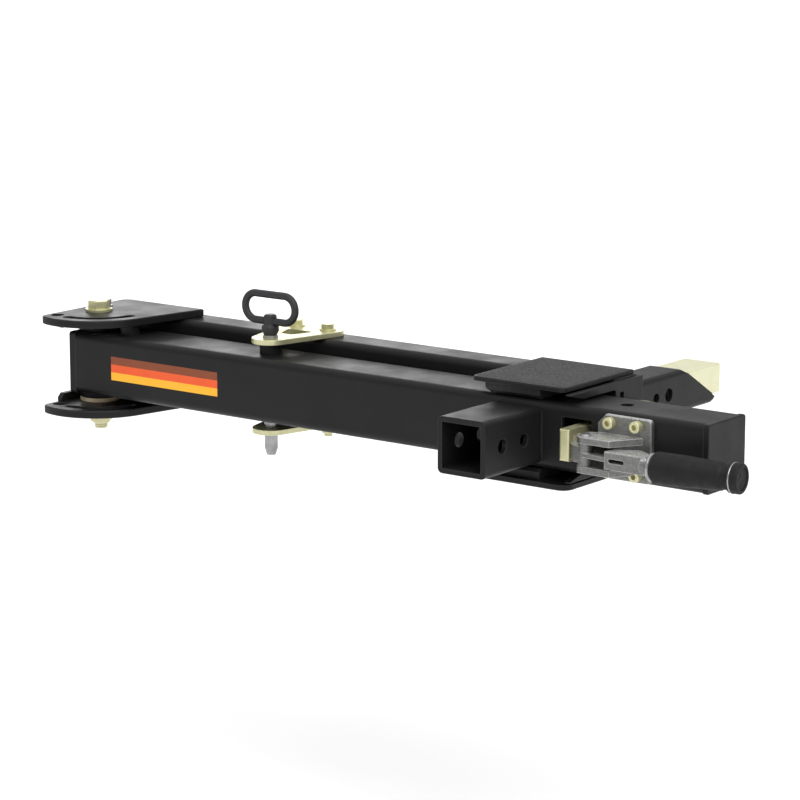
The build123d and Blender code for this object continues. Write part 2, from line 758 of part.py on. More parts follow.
with BuildPart() as latch_bracket:
    with BuildSketch(Plane.XZ.offset(-arm_front)):
        with Locations((bracket_x, 0)):
            flange_face = Rectangle(bracket_w, bracket_h)
        chamfer(flange_face.vertices().group_by(Axis.X)[0], bracket_chamfer)
        fillet(flange_face.vertices().group_by(Axis.X)[-1], bracket_chamfer / 2)
    extrude(amount=bracket_t)
    chamfer(latch_bracket.faces().sort_by(Axis.Y)[0].edges(), edge)
    for fork_low in (fork_bottom, fork_top - fork_t):
        with BuildSketch(Plane.XY.offset(fork_low)):
            with BuildLine():
                Polyline(
                    (latch_x - boss_r, latch_y),
                    (latch_x - boss_r, latch_y + 18.0),
                    (bracket_left + 2.0, latch_y + to_flange),
                    (bracket_right - 11.0, latch_y + to_flange),
                    (latch_x + 36.0, latch_y - boss_r),
                    (latch_x + 2.0, latch_y - boss_r),
                    close=True,
                )
            make_face()
            with Locations(latch_at):
                Circle(boss_r)
        extrude(amount=fork_t)
    chamfer(latch_bracket.faces().filter_by(Axis.Z).filter_by_position(Axis.Z, fork_top - 0.1, fork_top + 0.1)
            .edges().group_by(Axis.Y)[0], edge)
    with BuildSketch(Plane.XZ.offset(-flange_front)):
        with Locations((bracket_x - bracket_bolt_dx / 2, -bracket_bolt_dz / 2),
                       (bracket_x + bracket_bolt_dx / 2, -bracket_bolt_dz / 2)):
            Circle(head_relief_r)
    extrude(amount=bracket_head_h + 1.5, mode=Mode.SUBTRACT)
    with BuildSketch(Plane.XZ.offset(-arm_front)):
        with Locations((bracket_x, 0)):
            with GridLocations(bracket_bolt_dx, bracket_bolt_dz, 2, 2):
                Circle(bracket_bolt_r + bolt_clearance)
        with Locations(((bracket_left + relief_right) / 2, (relief_low + relief_high) / 2)):
            Rectangle(relief_right - bracket_left, relief_high - relief_low)
    extrude(amount=bracket_t, mode=Mode.SUBTRACT)
    with BuildSketch(Plane.XY):
        with Locations(latch_at):
            Circle(latch_pin_r)
    extrude(amount=bracket_h, both=True, mode=Mode.SUBTRACT)
save(latch_bracket.part, "latch_bracket")

with BuildPart() as latch_bracket_bolts:
    with BuildSketch(Plane.XZ.offset(-flange_front)):
        with Locations((bracket_x, 0)):
            with GridLocations(bracket_bolt_dx, bracket_bolt_dz, 2, 2):
                Circle(bracket_head_r)
    extrude(amount=bracket_head_h)
    fillet(latch_bracket_bolts.faces().group_by(Axis.Y)[0].edges(), edge)
    with BuildSketch(Plane.XZ.offset(-flange_front + bracket_head_h)):
        with Locations((bracket_x, 0)):
            with GridLocations(bracket_bolt_dx, bracket_bolt_dz, 2, 2):
                RegularPolygon(hexagon_r(6.0), 6)
    extrude(amount=-4.5, mode=Mode.SUBTRACT)
    with BuildSketch(Plane.XZ.offset(-flange_front)):
        with Locations((bracket_x, 0)):
            with GridLocations(bracket_bolt_dx, bracket_bolt_dz, 2, 2):
                Circle(bracket_bolt_r)
    extrude(amount=-(bracket_t + arm_wall))
save(latch_bracket_bolts.part, "latch_bracket_bolts")

with BuildPart() as latch_pivot_pin:
    with BuildSketch(Plane.XY.offset(fork_bottom - 1.0)):
        with Locations(latch_at):
            Circle(latch_pin_r)
    extrude(amount=fork_top - fork_bottom + 1.0)
    with BuildSketch(Plane.XY.offset(fork_top)):
        with Locations(latch_at):
            Circle(latch_pin_r + 2.0)
    extrude(amount=2.0)
    chamfer(latch_pivot_pin.faces().sort_by(Axis.Z)[-1].edges(), fine_edge)
save(latch_pivot_pin.part, "latch_pivot_pin")

# ================================================================ Latch lever and grip
grip_root = (latch_x + grip_start[0], latch_y + grip_start[1])
grip_plane = Plane(
    origin=(grip_root[0], grip_root[1], lever_mid),
    x_dir=(0, 0, 1),
    z_dir=(cos(radians(grip_angle)), sin(radians(grip_angle)), 0),
)
hook_y = strike_front + strike_window_back + bolt_clearance
hook_clear = strike_left + strike_t + 0.7 - latch_x


def grip_place(along, across):
    """Point in plan from the grip's root, along the grip and across it towards the arm."""
    turn = radians(grip_angle)
    return (
        grip_root[0] + along * cos(turn) - across * sin(turn),
        grip_root[1] + along * sin(turn) + across * cos(turn),
    )


with BuildPart() as latch_lever:
    with BuildSketch(Plane.XY.offset(boss_bottom)):
        with Locations(latch_at):
            Circle(boss_r - 1.0)
    extrude(amount=boss_top - boss_bottom)
    with BuildSketch(Plane.XY.offset(lever_mid - leaf_t / 2)):
        with BuildLine():
            Polyline(
                (latch_x, latch_y - boss_r + 1.0),
                (latch_x + 36.0, latch_y - 13.5),
                (latch_x + 38.0, latch_y - 2.0),
                (latch_x, latch_y + boss_r - 1.0),
                close=True,
            )
        make_face()
    extrude(amount=leaf_t)
    with BuildSketch(Plane.XY.offset(lever_mid - hook_h / 2)):
        with BuildLine():
            Polyline(
                (latch_x - 1.0, latch_y - boss_r + 1.2),
                (latch_x - 12.0, latch_y - 5.5),
                (latch_x + hook_clear, latch_y + 2.0),
                (latch_x + hook_clear, hook_y),
                (latch_x - hook_reach, hook_y),
                (latch_x - hook_reach, hook_y + 3.0),
                (latch_x + hook_clear + 1.0, latch_y + 16.0),
                (latch_x - 1.0, latch_y + boss_r - 1.2),
                close=True,
            )
        make_face()
    extrude(amount=hook_h)
    with BuildSketch(Plane.XY.offset(lever_mid - lever_h / 2)):
        with BuildLine():
            Polyline(
                (latch_x + 34.0, latch_y - 15.0),
                (latch_x + 85.0, latch_y - 15.5),
                grip_place(-ferrule_t - 2.0, 10.0),
                (latch_x + 62.0, latch_y + 13.0),
                (latch_x + 36.0, latch_y - 2.0),
                close=True,
            )
        body_face = make_face()
        fillet(body_face.vertices().sort_by(Axis.Y)[-1], 8.0)
    extrude(amount=lever_h)
    chamfer(latch_lever.faces().filter_by(Axis.Z).group_by(Axis.Z)[-2].edges().group_by(Axis.Y)[0], edge)
    with BuildSketch(Plane.XZ.offset(-latch_y)):
        with Locations((latch_x + 49.0, lever_mid)):
            SlotOverall(20.0, 4.6)
    extrude(amount=latch_out, mode=Mode.SUBTRACT)
    with BuildSketch(grip_plane.offset(-14.0)):
        Circle(lever_h / 2 - 1.0)
    extrude(amount=14.0 - ferrule_t)
    with BuildSketch(Plane.XY):
        with Locations(latch_at):
            Circle(latch_pin_r + running_clearance)
    extrude(amount=bracket_h, both=True, mode=Mode.SUBTRACT)
save(latch_lever.part, "latch_lever")

with BuildPart() as grip_ferrule:
    with BuildSketch(grip_plane.offset(-ferrule_t)):
        Circle(ferrule_r)
        Circle(core_r, mode=Mode.SUBTRACT)
    extrude(amount=ferrule_t)
    chamfer(grip_ferrule.edges().filter_by(GeomType.CIRCLE).group_by(SortBy.RADIUS)[-1], edge)
save(grip_ferrule.part, "grip_ferrule")

with BuildPart() as grip_core:
    with BuildSketch(grip_plane.offset(-ferrule_t)):
        Circle(core_r)
    extrude(amount=ferrule_t + grip_length)
save(grip_core.part, "grip_core")

grip_profile_plane = Plane(origin=grip_plane.origin, x_dir=grip_plane.z_dir, z_dir=(
    -sin(radians(grip_angle)), cos(radians(grip_angle)), 0))
with BuildPart() as rubber_grip:
    with BuildSketch(grip_profile_plane):
        with BuildLine():
            Polyline(
                (0, core_r),
                (0, grip_big_r - 3.0),
                (3.0, grip_big_r),
                (30.0, grip_big_r),
                (grip_length - 9.0, grip_small_r + 0.4),
                (grip_length - 7.0, grip_small_r - 1.0),
                (grip_length, grip_small_r - 1.0),
                (grip_length, core_r),
                close=True,
            )
        make_face()
    revolve(axis=Axis(grip_plane.origin, grip_plane.z_dir))
save(rubber_grip.part, "rubber_grip")

with BuildPart() as grip_end_cap:
    with BuildSketch(grip_plane.offset(grip_length)):
        Circle(end_cap_r)
    extrude(amount=end_cap_t)
    fillet(grip_end_cap.edges().filter_by(GeomType.CIRCLE), 2.0)
    with BuildSketch(grip_plane.offset(grip_length + end_cap_t)):
        Circle(end_cap_r - 2.0 - end_cap_rim)
    extrude(amount=-1.2, mode=Mode.SUBTRACT)
    with BuildSketch(grip_plane.offset(grip_length + 3.0)):
        Circle(end_cap_r)
        Circle(end_cap_r - 1.4, mode=Mode.SUBTRACT)
    extrude(amount=2.0, mode=Mode.SUBTRACT)
save(grip_end_cap.part, "grip_end_cap")

# ================================================================ Lock pin with its handle
pin_rest = half_beam_h + lock_plate_t
pin_top = pin_rest + pin_shoulder_h
pin_end = -(half_beam_h + lock_plate_t + lock_pin_below)
rod_z = pin_top + hub_h - handle_rod_r - 4.0
handle_z = rod_z + handle_h / 2
hub_top = pin_top + hub_h

with BuildPart() as lock_pin:
    with BuildSketch(Plane.XY.offset(pin_end)):
        with Locations(lock_at):
            Circle(lock_pin_r)
    extrude(amount=pin_rest - pin_end)
    pin_side = lock_pin.faces().filter_by(GeomType.CYLINDER)[0]
    chamfer(lock_pin.faces().sort_by(Axis.Z)[0].edges(), *lock_pin_taper, reference=pin_side)
    with BuildSketch(Plane.XY.offset(pin_rest)):
        with Locations(lock_at):
            Circle(lock_pin_r + pin_shoulder)
    extrude(amount=pin_shoulder_h)
save(lock_pin.part, "lock_pin")

hub_plane = Plane(origin=(lock_x, arm_y, 0), x_dir=(1, 0, 0), z_dir=(0, -1, 0))
with BuildPart() as lock_pin_hub:
    with BuildSketch(hub_plane):
        with BuildLine():
            Polyline(
                (0, pin_top),
                (hub_r - 2.5, pin_top),
                (hub_r, pin_top + 5.0),
                (hub_r, pin_top + 10.0),
                (hub_r - 2.5, pin_top + 12.5),
                (hub_r - 2.5, hub_top - 2.0),
                (hub_r - 4.5, hub_top),
                (0, hub_top),
                close=True,
            )
        make_face()
    revolve(axis=Axis((lock_x, arm_y, 0), (0, 0, 1)))
    with BuildSketch(Plane.YZ.offset(lock_x)):
        with Locations((arm_y, rod_z)):
            Circle(handle_rod_r)
    extrude(amount=2 * hub_r, both=True, mode=Mode.SUBTRACT)
save(lock_pin_hub.part, "lock_pin_hub")

loop_r = handle_h / 2
loop_straight = handle_w - handle_h
with BuildPart() as lock_pin_handle:
    with BuildLine(Plane(origin=(lock_x, arm_y, handle_z), x_dir=(1, 0, 0), z_dir=(0, -1, 0))):
        lower_bar = Line((0, -loop_r), (loop_straight / 2, -loop_r))
        right_end = ThreePointArc(lower_bar @ 1, (loop_straight / 2 + loop_r, 0), (loop_straight / 2, loop_r))
        upper_bar = Line(right_end @ 1, (-loop_straight / 2, loop_r))
        left_end = ThreePointArc(upper_bar @ 1, (-loop_straight / 2 - loop_r, 0), (-loop_straight / 2, -loop_r))
        Line(left_end @ 1, lower_bar @ 0)
    with BuildSketch(Plane(origin=lower_bar @ 0, x_dir=(0, 1, 0), z_dir=lower_bar % 0)):
        Circle(handle_rod_r)
    sweep()
save(lock_pin_handle.part, "lock_pin_handle")
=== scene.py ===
import json
import math
import random

import bpy
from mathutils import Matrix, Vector


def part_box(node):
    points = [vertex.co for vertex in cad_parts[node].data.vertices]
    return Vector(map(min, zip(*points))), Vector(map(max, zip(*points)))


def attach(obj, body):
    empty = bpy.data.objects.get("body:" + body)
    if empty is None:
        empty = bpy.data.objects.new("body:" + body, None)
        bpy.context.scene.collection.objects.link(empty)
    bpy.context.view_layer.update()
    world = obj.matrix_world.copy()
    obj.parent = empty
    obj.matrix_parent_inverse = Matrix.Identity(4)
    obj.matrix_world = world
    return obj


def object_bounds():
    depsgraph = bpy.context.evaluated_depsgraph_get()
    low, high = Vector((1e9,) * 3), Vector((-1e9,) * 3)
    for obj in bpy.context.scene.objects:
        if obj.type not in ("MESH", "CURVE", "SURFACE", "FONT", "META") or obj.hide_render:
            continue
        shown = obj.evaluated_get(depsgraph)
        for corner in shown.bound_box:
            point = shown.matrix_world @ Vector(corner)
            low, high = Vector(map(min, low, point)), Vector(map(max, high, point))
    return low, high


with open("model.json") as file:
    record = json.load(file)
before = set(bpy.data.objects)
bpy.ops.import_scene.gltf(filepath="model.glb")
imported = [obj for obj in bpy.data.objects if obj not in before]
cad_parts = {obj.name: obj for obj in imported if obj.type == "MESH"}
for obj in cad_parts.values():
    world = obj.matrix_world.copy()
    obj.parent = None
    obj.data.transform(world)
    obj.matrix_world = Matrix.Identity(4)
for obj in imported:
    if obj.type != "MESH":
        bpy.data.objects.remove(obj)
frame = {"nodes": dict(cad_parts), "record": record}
cad_low, cad_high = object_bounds()
nodes = frame["nodes"]
scene = bpy.context.scene
MM = 0.001


# ---------------------------------------------------------------- places
def low(node):
    return Vector(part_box(node)[0])


def high(node):
    return Vector(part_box(node)[1])


def mid(node):
    return (low(node) + high(node)) / 2


# ---------------------------------------------------------------- materials
class Paint:
    """A procedural material: a Principled shader with helpers for its colour, roughness and bump."""

    def __init__(self, name, colour, rough, metallic=0.0, specular=0.5):
        self.mat = bpy.data.materials.new(name)
        self.mat.use_nodes = True
        self.mat.diffuse_color = (*colour, 1)
        self.tree = self.mat.node_tree
        self.shader = self.tree.nodes["Principled BSDF"]
        self.colour = colour
        self.shader.inputs["Base Color"].default_value = (*colour, 1)
        self.shader.inputs["Roughness"].default_value = rough
        self.shader.inputs["Metallic"].default_value = metallic
        self.shader.inputs["Specular IOR Level"].default_value = specular
        self.coordinates = self.node("ShaderNodeTexCoord")
        self.where = self.coordinates.outputs["Object"]
        self.colour_out = None
        self.normal_out = None

    def node(self, kind, **values):
        made = self.tree.nodes.new(kind)
        for key, value in values.items():
            setattr(made, key, value)
        return made

    def link(self, a, b):
        self.tree.links.new(a, b)

    def noise(self, size_mm, detail=3.0, stretch=None, roughness=0.5):
        """Noise whose features are about size_mm across, stretched along an axis when asked."""
        made = self.node("ShaderNodeTexNoise")
        made.inputs["Scale"].default_value = 1 / (size_mm * MM)
        made.inputs["Detail"].default_value = detail
        made.inputs["Roughness"].default_value = roughness
        source = self.where
        if stretch:
            mapping = self.node("ShaderNodeMapping")
            mapping.inputs["Scale"].default_value = stretch
            self.link(source, mapping.inputs["Vector"])
            source = mapping.outputs["Vector"]
        self.link(source, made.inputs["Vector"])
        return made.outputs["Fac"]

    def cells(self, size_mm):
        """Distance to the nearest of scattered grains about size_mm apart."""
        made = self.node("ShaderNodeTexVoronoi")
        made.inputs["Scale"].default_value = 1 / (size_mm * MM)
        self.link(self.where, made.inputs["Vector"])
        return made.outputs["Distance"]

    def ramp(self, source, low_at, high_at, low_value=0.0, high_value=1.0):
        made = self.node("ShaderNodeMapRange")
        made.inputs["From Min"].default_value = low_at
        made.inputs["From Max"].default_value = high_at
        made.inputs["To Min"].default_value = low_value
        made.inputs["To Max"].default_value = high_value
        self.link(source, made.inputs["Value"])
        return made.outputs["Result"]

    def tint(self, factor, colour):
        """Mixes a colour over what the surface already has, by a factor from 0 to 1."""
        made = self.node("ShaderNodeMix", data_type="RGBA")
        self.link(factor, made.inputs[0])
        if self.colour_out is None:
            made.inputs[6].default_value = (*self.colour, 1)
        else:
            self.link(self.colour_out, made.inputs[6])
        made.inputs[7].default_value = (*colour, 1)
        self.colour_out = made.outputs[2]
        self.link(self.colour_out, self.shader.inputs["Base Color"])

    def vary_rough(self, source, low_at, high_at, low_value, high_value):
        self.link(self.ramp(source, low_at, high_at, low_value, high_value), self.shader.inputs["Roughness"])

    def round_edges(self, radius_mm):
        made = self.node("ShaderNodeBevel", samples=6)
        made.inputs["Radius"].default_value = radius_mm * MM
        self.normal_out = made.outputs["Normal"]
        self.link(self.normal_out, self.shader.inputs["Normal"])

    def edges(self):
        """A mask that is 1 on edges and 0 on flats, used for painted highlights along edges."""
        sharpness = 6.0
        plain = self.node("ShaderNodeNewGeometry")
        wide = self.node("ShaderNodeBevel", samples=6)
        wide.inputs["Radius"].default_value = 1.6 * MM
        dot = self.node("ShaderNodeVectorMath", operation="DOT_PRODUCT")
        self.link(plain.outputs["Normal"], dot.inputs[0])
        self.link(wide.outputs["Normal"], dot.inputs[1])
        return self.ramp(dot.outputs["Value"], 1.0, 1.0 - 1 / sharpness, 0.0, 1.0)

    def facing_up(self):
        """A mask that is 1 on level tops and 0 on upright sides."""
        parts = self.node("ShaderNodeSeparateXYZ")
        self.link(self.coordinates.outputs["Normal"], parts.inputs["Vector"])
        return self.ramp(parts.outputs["Z"], 0.6, 0.9)

    def both(self, first, second):
        """Two masks multiplied."""
        made = self.node("ShaderNodeMath", operation="MULTIPLY")
        self.link(first, made.inputs[0])
        self.link(second, made.inputs[1])
        return made.outputs["Value"]

    def bump(self, source, depth_mm):
        made = self.node("ShaderNodeBump")
        made.inputs["Strength"].default_value = 1.0
        made.inputs["Distance"].default_value = depth_mm * MM
        self.link(source, made.inputs["Height"])
        if self.normal_out is not None:
            self.link(self.normal_out, made.inputs["Normal"])
        self.normal_out = made.outputs["Normal"]
        self.link(self.normal_out, self.shader.inputs["Normal"])


def powder_coat(name, colour, rough=0.42):
    paint = Paint(name, colour, rough, specular=0.20)
    paint.round_edges(0.8)
    lighter = tuple(c * 1.5 for c in colour)
    paint.tint(paint.ramp(paint.noise(60, 2), 0.35, 0.65, 0.0, 0.35), lighter)
    # painted highlight: edges lightened to stand in for the light they catch
    paint.tint(paint.ramp(paint.edges(), 0.1, 1.0, 0.0, 0.55), (0.07, 0.07, 0.072))
    paint.vary_rough(paint.noise(35, 3), 0.3, 0.7, rough - 0.05, rough + 0.07)
    paint.bump(paint.noise(1.1, 3, roughness=0.6), 0.10)
    return paint


def zinc_plate(name, colour, deep, rough=0.34):
    paint = Paint(name, colour, rough, metallic=0.72, specular=0.5)
    paint.round_edges(0.4)
    paint.tint(paint.ramp(paint.noise(14, 4), 0.40, 0.72, 0.0, 0.55), deep)
    # painted highlight: a lighter colour along edges in place of the light they catch
    edge_highlight = tuple(min(1.0, c * 1.25) for c in colour)
    paint.tint(paint.ramp(paint.edges(), 0.15, 1.0, 0.0, 0.6), edge_highlight)
    paint.vary_rough(paint.noise(6, 4), 0.3, 0.7, rough - 0.07, rough + 0.1)
    paint.bump(paint.noise(0.7, 2), 0.03)
    return paint


black = powder_coat("satin_black_powder_coat", (0.0090, 0.0090, 0.0095))

yellow = zinc_plate("yellow_zinc_plate", (0.64, 0.62, 0.38), (0.52, 0.50, 0.26))
pale = zinc_plate("pale_yellow_zinc_block", (0.80, 0.79, 0.56), (0.72, 0.71, 0.47), rough=0.46)
bright = zinc_plate("bright_zinc_plate", (0.36, 0.36, 0.365), (0.20, 0.205, 0.215), rough=0.22)
bright.bump(bright.noise(0.5, 2, stretch=(1, 1, 0.08)), 0.02)

dark = powder_coat("dark_coated_steel", (0.030, 0.030, 0.032), rough=0.36)
bronze = Paint("bearing_bronze", (0.88, 0.72, 0.50), 0.46, metallic=0.35)
bronze.round_edges(0.4)
bronze.tint(bronze.ramp(bronze.noise(9, 4), 0.4, 0.7, 0.0, 0.6), (0.74, 0.57, 0.37))
bronze.bump(bronze.noise(0.5, 2, stretch=(1, 1, 0.1)), 0.03)

cast = Paint("plated_casting", (0.20, 0.20, 0.195), 0.36, metallic=0.80)
cast.round_edges(0.9)
cast.tint(cast.ramp(cast.noise(5, 5), 0.42, 0.68, 0.0, 0.7), (0.145, 0.145, 0.14))
cast.tint(cast.ramp(cast.cells(1.3), 0.0, 0.34, 0.55, 0.0), (0.60, 0.60, 0.59))
# painted light: level tops lightened and sprinkled with white glints, as if lit from above
lit_tops = cast.facing_up()
cast.tint(cast.both(lit_tops, cast.ramp(cast.noise(7, 3), 0.3, 0.7, 0.45, 0.85)), (0.62, 0.62, 0.60))
cast.tint(cast.both(lit_tops, cast.ramp(cast.noise(1.4, 2), 0.50, 0.62)), (0.95, 0.95, 0.93))
# painted highlight: edges lightened in place of the light they catch
cast.tint(cast.ramp(cast.edges(), 0.1, 1.0, 0.0, 0.8), (0.66, 0.66, 0.67))
cast.vary_rough(cast.noise(2.5, 4), 0.3, 0.7, 0.28, 0.5)
cast.bump(cast.noise(1.0, 5, roughness=0.7), 0.28)

rubber = Paint("grip_rubber", (0.0085, 0.0085, 0.009), 0.60, specular=0.24)
rubber.round_edges(1.2)
rubber.tint(rubber.ramp(rubber.noise(20, 3), 0.4, 0.7, 0.0, 0.5), (0.014, 0.014, 0.0145))
rubber.vary_rough(rubber.noise(8, 3), 0.3, 0.7, 0.55, 0.72)
rubber.bump(rubber.noise(0.6, 4, roughness=0.7), 0.09)

grit = Paint("anti_slip_grit", (0.024, 0.024, 0.024), 0.64, specular=0.5)
grit.tint(grit.ramp(grit.cells(1.0), 0.0, 0.30, 0.9, 0.0), (0.15, 0.15, 0.15))
grit.tint(grit.ramp(grit.noise(26, 4), 0.45, 0.7, 0.0, 0.6), (0.034, 0.034, 0.034))
grit.vary_rough(grit.noise(1.2, 3), 0.3, 0.7, 0.45, 0.9)
grit.bump(grit.cells(0.9), 0.35)

wear = Paint("wear_plastic", (0.012, 0.012, 0.012), 0.5, specular=0.3)
wear.round_edges(0.5)
wear.tint(wear.ramp(wear.noise(3, 4, stretch=(1, 0.08, 1)), 0.5, 0.75, 0.0, 0.6), (0.03, 0.03, 0.03))
wear.bump(wear.noise(1.2, 4, stretch=(1, 0.06, 1)), 0.08)


def print_ink(name, colour):
    paint = Paint(name, colour, 0.42, specular=0.3)
    paint.tint(paint.ramp(paint.noise(18, 3), 0.35, 0.7, 0.0, 0.22), tuple(c * 0.8 for c in colour))
    paint.bump(paint.noise(1.1, 3), 0.05)
    return paint


inks = [
    print_ink("stripe_brown", (0.235, 0.060, 0.022)),
    print_ink("stripe_orange", (0.830, 0.108, 0.026)),
    print_ink("stripe_amber", (0.960, 0.470, 0.030)),
]

by_slot = {
    "black_coat": black, "grit_pad": grit, "wear_plastic": wear, "yellow_zinc": yellow, "bright_zinc": bright,
    "bronze": bronze, "cast_zinc": cast, "grip_steel": bright, "grip_rubber": rubber, "dark_steel": dark,
}
slot_of = {s["node"]: s["material_slot"] for s in frame["record"]["subparts"]}
own_paint = {"wedge_block": pale, "step_pad": black}
for node_name, thing in nodes.items():
    paint = own_paint.get(node_name, by_slot[slot_of[node_name]])
    for part_slot in thing.material_slots:
        part_slot.material = paint.mat
    if not thing.material_slots:
        thing.data.materials.append(paint.mat)


# ---------------------------------------------------------------- mesh helpers
def add(name, verts, faces, paint, body, slot, smooth=True):
    mesh = bpy.data.meshes.new(name)
    mesh.from_pydata([tuple(v) for v in verts], [], faces)
    mesh.update()
    made = bpy.data.objects.new(name, mesh)
    scene.collection.objects.link(made)
    mesh.materials.append(paint.mat)
    for face in mesh.polygons:
        face.use_smooth = smooth
    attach(made, body)


def rings(loops):
    """Vertices and faces of a closed skin over rings of equally many points."""
    count = len(loops[0])
    verts = [p for loop in loops for p in loop]
    faces = []
    for r in range(len(loops) - 1):
        for i in range(count):
            j = (i + 1) % count
            faces.append((r * count + i, r * count + j, (r + 1) * count + j, (r + 1) * count + i))
    faces.append(tuple(reversed(range(count))))
    last = (len(loops) - 1) * count
    faces.append(tuple(range(last, last + count)))
    return verts, faces


def bead(name, start, end, radius, body):
    """A weld bead with its ripples, along a straight seam; the radius is in millimetres."""
    pitch = 2.6
    sides = 10
    start, end = Vector(start), Vector(end)
    along = (end - start).normalized()
    side = along.cross(Vector((0.31, 0.52, 0.79))).normalized()
    other = along.cross(side)
    length = (end - start).length
    steps = max(6, int(length / (pitch * MM) * 5))
    shake = random.Random(name)
    loops = []
    for k in range(steps + 1):
        t = k / steps
        ripple = abs(math.sin(math.pi * t * length / (pitch * MM)))
        taper = min(1.0, 8 * t + 0.25, 8 * (1 - t) + 0.25)
        r = radius * MM * (0.86 + 0.14 * ripple + shake.uniform(-0.02, 0.02)) * taper
        at = start + along * (t * length)
        loops.append([at + (side * math.cos(a) + other * math.sin(a)) * r
                      for a in (2 * math.pi * i / sides for i in range(sides))])
    add(name, *rings(loops), black, body, "black_coat")


def thread(name, centre, radius, start, end, pitch):
    """The ridges of a screw thread on an upright bolt, from start to end up its axis, in millimetres."""
    axis = Vector((0, 0, 1))
    side = axis.orthogonal().normalized()
    other = axis.cross(side)
    around = 40
    per_turn = 6
    root_depth = 0.12
    ridge_height = 0.42
    steps = int(abs(end - start) / pitch * per_turn)
    loops = []
    for k in range(steps + 1):
        z = start + (end - start) * k / steps
        loop = []
        for i in range(around):
            a = 2 * math.pi * i / around
            phase = (z / pitch - i / around) % 1
            ridge = 1 - abs(2 * phase - 1)
            fade = min(1.0, 2 * k / per_turn, 2 * (steps - k) / per_turn)
            r = (radius - root_depth + ridge_height * ridge * fade) * MM
            loop.append(centre + axis * (z * MM) + (side * math.cos(a) + other * math.sin(a)) * r)
        loops.append(loop)
    add(name, *rings(loops), yellow, "base", "yellow_zinc")


def band(name, centre, axis, inner, outer, width, paint, body, slot):
    """A ring with a rounded outside, such as a snap band, in millimetres about an axis."""
    side = axis.orthogonal().normalized()
    other = axis.cross(side)
    around = 64
    half = width / 2
    profile = [(inner, -half), (outer - 0.5, -half), (outer - 0.1, -half * 0.6), (outer, 0.0),
               (outer - 0.1, half * 0.6), (outer - 0.5, half), (inner, half)]
    verts = []
    for radius, height in profile:
        for i in range(around):
            a = 2 * math.pi * i / around
            out = side * math.cos(a) + other * math.sin(a)
            verts.append(centre + axis * (height * MM) + out * (radius * MM))
    faces = []
    for p in range(len(profile)):
        q = (p + 1) % len(profile)
        for i in range(around):
            j = (i + 1) % around
            faces.append((p * around + i, p * around + j, q * around + j, q * around + i))
    add(name, verts, faces, paint, body, slot)


# ---------------------------------------------------------------- grit on the step pad
pad_low, pad_high = low("step_pad"), high("step_pad")
grain = random.Random(7)
inset = 2.2 * MM
corner = 10 * MM
cell = 1.25 * MM
grain_base = 0.08
grain_height = 0.55
pad_mid_x = (pad_low.x + pad_high.x) / 2
pad_half_x = (pad_high.x - pad_low.x) / 2
x_span = pad_high.x - pad_low.x - 2 * inset
y_span = pad_high.y - pad_low.y - 2 * inset
x_count = int(x_span / cell)
y_count = int(y_span / cell)
heights = [[grain.random() ** 2 for _ in range(x_count + 1)] for _ in range(y_count + 1)]
pad_verts, pad_faces = [], []
for j in range(y_count + 1):
    for i in range(x_count + 1):
        x = pad_low.x + inset + x_span * i / x_count
        y = pad_low.y + inset + y_span * j / y_count
        side = max(0.0, abs(x - pad_mid_x) - pad_half_x + inset + corner)
        front = max(0.0, pad_low.y + inset + corner - y)
        if side > 0 and front > 0 and math.hypot(side, front) > corner:
            pull = corner / math.hypot(side, front)
            x += (side * pull - side) * (1 if x > pad_mid_x else -1)
            y -= front * pull - front
        rim = min(1.0, i, x_count - i, j, y_count - j)
        pad_verts.append((x, y, pad_high.z + (grain_base + grain_height * heights[j][i] * rim) * MM))
row = x_count + 1
for j in range(y_count):
    for i in range(x_count):
        pad_faces.append((j * row + i, j * row + i + 1, (j + 1) * row + i + 1, (j + 1) * row + i))
add("step_pad_grit", pad_verts, pad_faces, grit, "base", "grit_pad")

# ---------------------------------------------------------------- plain stripes on the arm's front
arm_low = low("arm_tube")
stripe_left = arm_low.x + 59 * MM
stripe_right = arm_low.x + 228.6 * MM
stripe_top = 14.5 * MM
stripe_h = 9.7 * MM
stripe_y = arm_low.y - 0.12 * MM
slices = 24
for k, ink in enumerate(inks):
    z1 = stripe_top - k * stripe_h
    z0 = z1 - stripe_h
    verts, faces = [], []
    for piece in range(slices + 1):
        x = stripe_left + (stripe_right - stripe_left) * piece / slices
        verts += [(x, stripe_y, z0), (x, stripe_y, z1)]
    for piece in range(slices):
        faces.append((2 * piece, 2 * piece + 2, 2 * piece + 3, 2 * piece + 1))
    add(f"stripe_{k + 1}", verts, faces, ink, "swing_arm", "black_coat", smooth=False)

# ---------------------------------------------------------------- threads on the bolts' ends
pivot_bolt_r, pivot_bolt_pitch, pivot_bolt_chamfer = 7.94, 2.3, 0.8
lock_bolt_r, lock_bolt_pitch, lock_bolt_chamfer = 4.76, 1.6, 0.3
bolt_at = Vector((mid("pivot_nut").x, mid("pivot_nut").y, 0))
bolt_end = low("pivot_bolt").z / MM + pivot_bolt_chamfer
thread("pivot_bolt_thread", bolt_at, pivot_bolt_r, bolt_end, low("pivot_nut").z / MM, pivot_bolt_pitch)
nuts_low, nuts_high = low("lock_plate_nuts"), high("lock_plate_nuts")
nut_corner = (nuts_high.y - nuts_low.y) / 2 / math.cos(math.radians(30))
bolt_end = low("lock_plate_bolts").z / MM + lock_bolt_chamfer
for k, x in enumerate((nuts_low.x + nut_corner, nuts_high.x - nut_corner)):
    at = Vector((x, (nuts_low.y + nuts_high.y) / 2, 0))
    thread(f"lock_bolt_thread_{k + 1}", at, lock_bolt_r, bolt_end, nuts_low.z / MM, lock_bolt_pitch)

